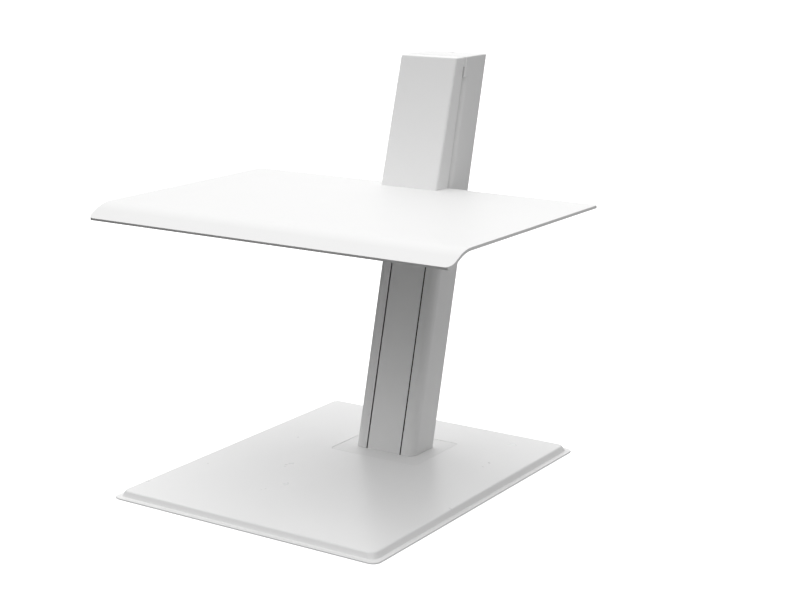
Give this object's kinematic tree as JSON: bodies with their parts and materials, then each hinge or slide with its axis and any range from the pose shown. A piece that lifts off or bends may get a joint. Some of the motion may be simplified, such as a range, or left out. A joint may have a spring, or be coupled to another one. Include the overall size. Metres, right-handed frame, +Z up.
{
  "type": "standing desk converter",
  "caption": "Desk riser: wide platform with a turned-down front lip, sliding on a leaning column that stands on a flat base, with a hidden spring and cable counterbalance.",
  "frame": {"origin": "middle of the base footprint, on the surface it stands on", "axes": "+X to the right, +Y to the back, +Z up"},
  "size_m": [0.7126, 0.6638, 0.706],
  "materials": {
    "platform_paint": "fine satin powder coat on aluminium sheet, white",
    "base_paint": "semi-gloss powder coat, white",
    "collar_paint": "satin powder coat, white",
    "column_paint": "satin white paint on extruded aluminium",
    "cap_plastic": "fine moulded texture, white",
    "tower_plastic": "fine moulded texture, white",
    "bracket_paint": "satin powder coat, white",
    "arm_steel": "blackened steel plate",
    "bare_steel": "zinc plated sheet",
    "zinc_steel": "bright zinc plated",
    "black_steel": "black oxide",
    "spring_steel": "oiled spring wire",
    "cable_steel": "stranded steel",
    "cast_aluminium": "as cast",
    "brass": "plain",
    "nylon": "natural nylon",
    "rubber": "matt black"
  },
  "bodies": {
    "base": {"base_cover": "base_paint", "base_plate": "bare_steel", "foot_pads": "rubber", "base_cover_nuts": "zinc_steel", "collar_plate": "collar_paint", "column_foot": "cast_aluminium", "foot_bolts": "black_steel", "column_shell": "column_paint", "column_front_strip": "column_paint", "column_foot_screws": "black_steel", "column_top_cap": "cap_plastic", "top_bracket": "bare_steel", "top_bracket_screws": "black_steel", "wheel_axle": "zinc_steel", "axle_clips": "black_steel", "thrust_washer": "brass", "upper_bumper": "rubber", "lower_bumper": "rubber"},
    "balance_wheel": {"balance_wheel": "nylon"},
    "adjuster": {"adjust_screw": "zinc_steel"},
    "upper_spring_seat": {"spring_top_seat": "cast_aluminium"},
    "lower_spring_seat": {"spring_bottom_seat": "nylon", "spring_cable_ferrule": "zinc_steel", "spring_cable": "cable_steel", "counterbalance_spring": "spring_steel"},
    "carriage": {"carriage_cables": "cable_steel", "carriage_arm_left": "arm_steel", "carriage_arm_right": "arm_steel", "carriage_crossbar_upper": "bare_steel", "carriage_crossbar_lower": "bare_steel", "carriage_crossbar_rear": "bare_steel", "cable_ferrules": "zinc_steel", "upper_roller_axle": "zinc_steel", "lower_roller_axle": "zinc_steel", "roller_spacers": "nylon", "roller_clips": "black_steel", "glide_pads": "nylon", "tower_spine": "bare_steel", "spine_bolts": "black_steel", "tower_cover": "tower_plastic", "tower_back_cover": "tower_plastic", "tower_cover_screws": "black_steel", "platform": "platform_paint", "platform_bracket": "bracket_paint", "platform_screws": "black_steel", "bracket_screws": "black_steel", "bracket_bolts": "black_steel"},
    "upper_roller_left": {"upper_roller_left": "nylon"},
    "upper_roller_right": {"upper_roller_right": "nylon"},
    "lower_roller_left": {"lower_roller_left": "nylon"},
    "lower_roller_right": {"lower_roller_right": "nylon"}
  },
  "joints": [
    {"name": "lift", "type": "slide", "parent": "base", "child": "carriage", "axis": [0, 0.2455, 0.9694], "range_m": [-0.4, 0], "deforming": ["carriage_cables"]},
    {"name": "wheel_turn", "type": "hinge", "parent": "base", "child": "balance_wheel", "pos_m": [0, 0.28759, 0.65413], "axis": [1, 0, 0], "range_deg": [-2, 1642.02]},
    {"name": "lower_seat_slide", "type": "slide", "parent": "base", "child": "lower_spring_seat", "axis": [0, 0.2455, 0.9694], "range_m": [-0.001, 0.201], "deforming": ["counterbalance_spring", "spring_cable"]},
    {"name": "adjust_turn", "type": "hinge", "parent": "base", "child": "adjuster", "pos_m": [0, 0.31674, 0.66945], "axis": [0, 0.2455, 0.9694], "range_deg": [-2, 2890]},
    {"name": "upper_seat_slide", "type": "slide", "parent": "base", "child": "upper_spring_seat", "axis": [0, 0.2455, 0.9694], "range_m": [-0.01, 0]},
    {"name": "upper_roller_left_turn", "type": "hinge", "parent": "carriage", "child": "upper_roller_left", "pos_m": [-0.0437, 0.25313, 0.56692], "axis": [1, 0, 0], "range_deg": [-1963.83, 2]},
    {"name": "lower_roller_left_turn", "type": "hinge", "parent": "carriage", "child": "lower_roller_left", "pos_m": [-0.0437, 0.26468, 0.45775], "axis": [1, 0, 0], "range_deg": [-2, 1963.83]},
    {"name": "upper_roller_right_turn", "type": "hinge", "parent": "carriage", "child": "upper_roller_right", "pos_m": [0.0437, 0.25313, 0.56692], "axis": [1, 0, 0], "range_deg": [-1963.83, 2]},
    {"name": "lower_roller_right_turn", "type": "hinge", "parent": "carriage", "child": "lower_roller_right", "pos_m": [0.0437, 0.26468, 0.45775], "axis": [1, 0, 0], "range_deg": [-2, 1963.83]}
  ],
  "couplings": [
    {"joint": "wheel_turn", "follows": "lift", "rad_per_m": -71.429},
    {"joint": "lower_seat_slide", "follows": "lift", "ratio": -0.5},
    {"joint": "adjust_turn", "follows": "upper_seat_slide", "rad_per_m": -5026.5},
    {"joint": "upper_roller_left_turn", "follows": "lift", "rad_per_m": 85.47},
    {"joint": "lower_roller_left_turn", "follows": "lift", "rad_per_m": -85.47},
    {"joint": "upper_roller_right_turn", "follows": "lift", "rad_per_m": 85.47},
    {"joint": "lower_roller_right_turn", "follows": "lift", "rad_per_m": -85.47}
  ]
}
